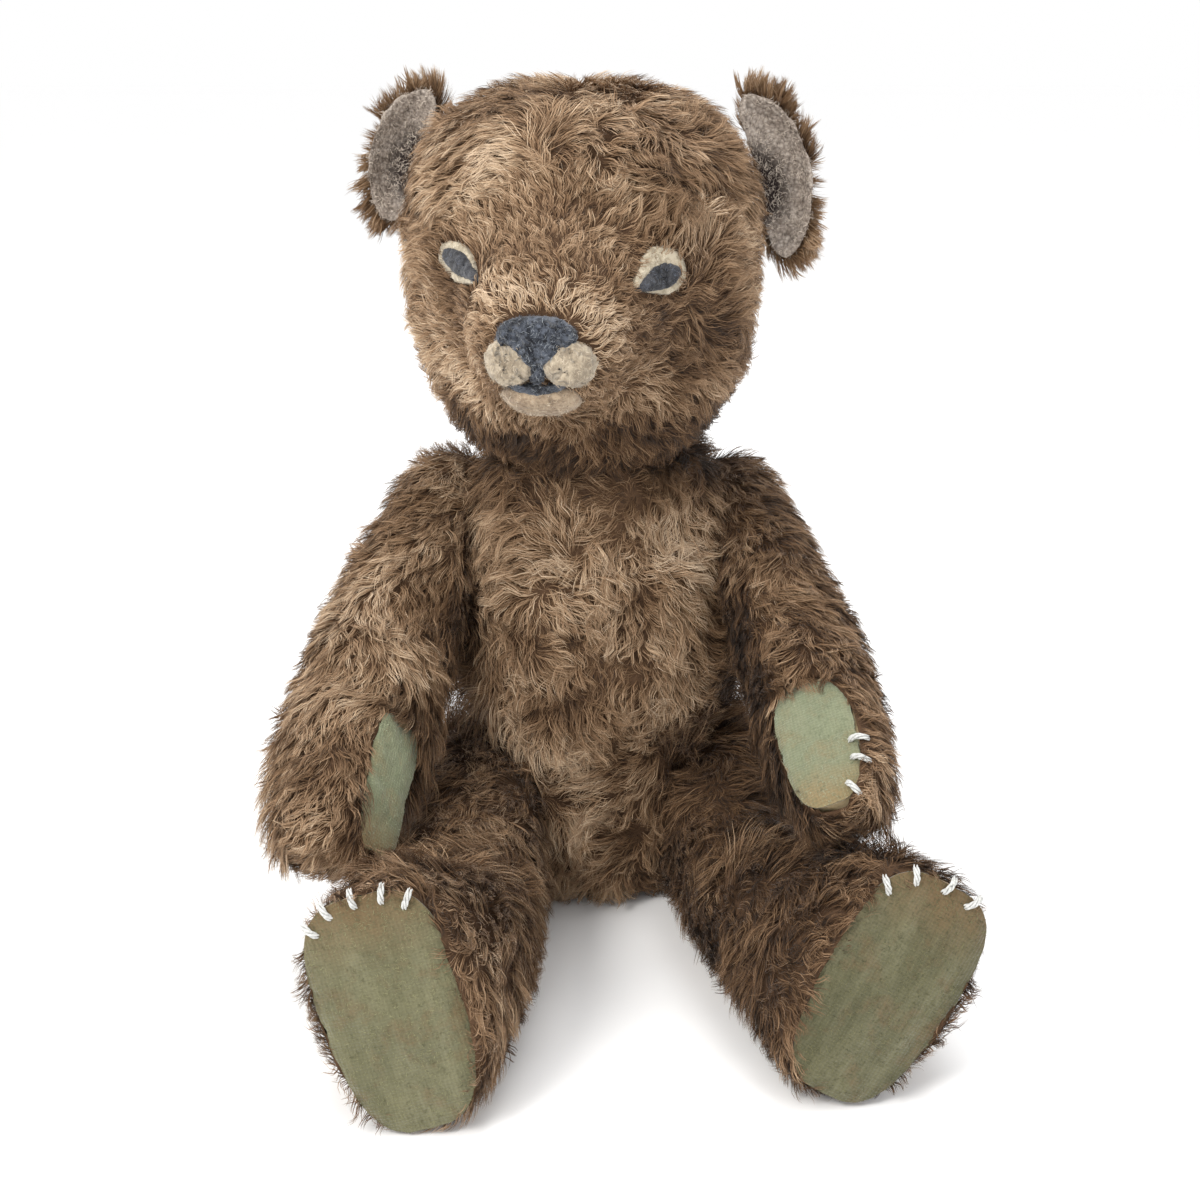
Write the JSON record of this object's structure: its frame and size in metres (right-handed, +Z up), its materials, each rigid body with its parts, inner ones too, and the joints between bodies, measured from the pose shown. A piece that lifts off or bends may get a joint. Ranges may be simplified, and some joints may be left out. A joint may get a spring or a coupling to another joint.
{
  "type": "jointed teddy bear",
  "caption": "Sitting plush toy bear in brown mohair, with disc joints at neck, shoulders and hips, felt face, velveteen paw and foot pads and repair stitches.",
  "frame": {"origin": "middle of the flat seat under the torso", "axes": "+Z up, the bear faces -Y, its left side is +X"},
  "size_m": [0.2239, 0.2332, 0.2931],
  "materials": {
    "mohair": "brown mohair pile cloth",
    "wood_wool": "packed wood wool stuffing",
    "velveteen": "grey-green velveteen, stained",
    "worn_backing": "worn mohair backing cloth",
    "dark_felt": "needle-felted dark slate wool",
    "cream_felt": "needle-felted cream wool",
    "white_thread": "white repair thread",
    "card": "pressed fibre board",
    "steel": "plain steel wire and washers"
  },
  "bodies": {
    "torso": {"torso_plush": "mohair", "torso_stuffing": "wood_wool", "neck_body_disc": "card", "neck_body_washer": "steel", "left_shoulder_body_disc": "card", "left_shoulder_body_washer": "steel", "left_hip_body_disc": "card", "left_hip_body_washer": "steel", "right_shoulder_body_disc": "card", "right_shoulder_body_washer": "steel", "right_hip_body_disc": "card", "right_hip_body_washer": "steel"},
    "head": {"head_plush": "mohair", "head_stuffing": "wood_wool", "neck_head_disc": "card", "neck_head_washer": "steel", "neck_cotter_pin": "steel", "nose_felt": "dark_felt", "mouth_felt": "dark_felt", "lower_lip_felt": "cream_felt", "left_ear_back": "mohair", "left_ear_lining": "worn_backing", "left_eye_rim_felt": "cream_felt", "left_pupil_felt": "dark_felt", "left_upper_lip_felt": "cream_felt", "right_ear_back": "mohair", "right_ear_lining": "worn_backing", "right_eye_rim_felt": "cream_felt", "right_pupil_felt": "dark_felt", "right_upper_lip_felt": "cream_felt"},
    "left_arm": {"left_arm_plush": "mohair", "left_arm_stuffing": "wood_wool", "left_arm_disc": "card", "left_arm_washer": "steel", "left_shoulder_cotter_pin": "steel", "left_paw_pad": "velveteen", "left_paw_repair_thread": "white_thread"},
    "left_leg": {"left_leg_plush": "mohair", "left_leg_stuffing": "wood_wool", "left_leg_disc": "card", "left_leg_washer": "steel", "left_hip_cotter_pin": "steel", "left_foot_pad": "velveteen", "left_insole_board": "card", "left_foot_repair_thread": "white_thread"},
    "right_arm": {"right_arm_plush": "mohair", "right_arm_stuffing": "wood_wool", "right_arm_disc": "card", "right_arm_washer": "steel", "right_shoulder_cotter_pin": "steel", "right_paw_pad": "velveteen"},
    "right_leg": {"right_leg_plush": "mohair", "right_leg_stuffing": "wood_wool", "right_leg_disc": "card", "right_leg_washer": "steel", "right_hip_cotter_pin": "steel", "right_foot_pad": "velveteen", "right_insole_board": "card", "right_foot_repair_thread": "white_thread"}
  },
  "joints": [
    {"name": "neck_turn", "type": "hinge", "parent": "torso", "child": "head", "pos_m": [-0.003, -0.006, 0.168], "axis": [0, 0, 1], "continuous": true},
    {"name": "left_shoulder_turn", "type": "hinge", "parent": "torso", "child": "left_arm", "pos_m": [0.0425, 0, 0.135], "axis": [-0.9781, 0, -0.2079], "range_deg": [0, 60]},
    {"name": "right_shoulder_turn", "type": "hinge", "parent": "torso", "child": "right_arm", "pos_m": [-0.0455, 0, 0.136], "axis": [-0.9781, 0, 0.2079], "range_deg": [0, 75]},
    {"name": "left_hip_turn", "type": "hinge", "parent": "torso", "child": "left_leg", "pos_m": [0.02, 0.004, 0.0325], "axis": [0.9912, 0.1129, -0.0698], "range_deg": [0, 110]},
    {"name": "right_hip_turn", "type": "hinge", "parent": "torso", "child": "right_leg", "pos_m": [-0.02, 0.004, 0.0325], "axis": [0.9972, -0.0261, 0.0698], "range_deg": [0, 110]}
  ]
}
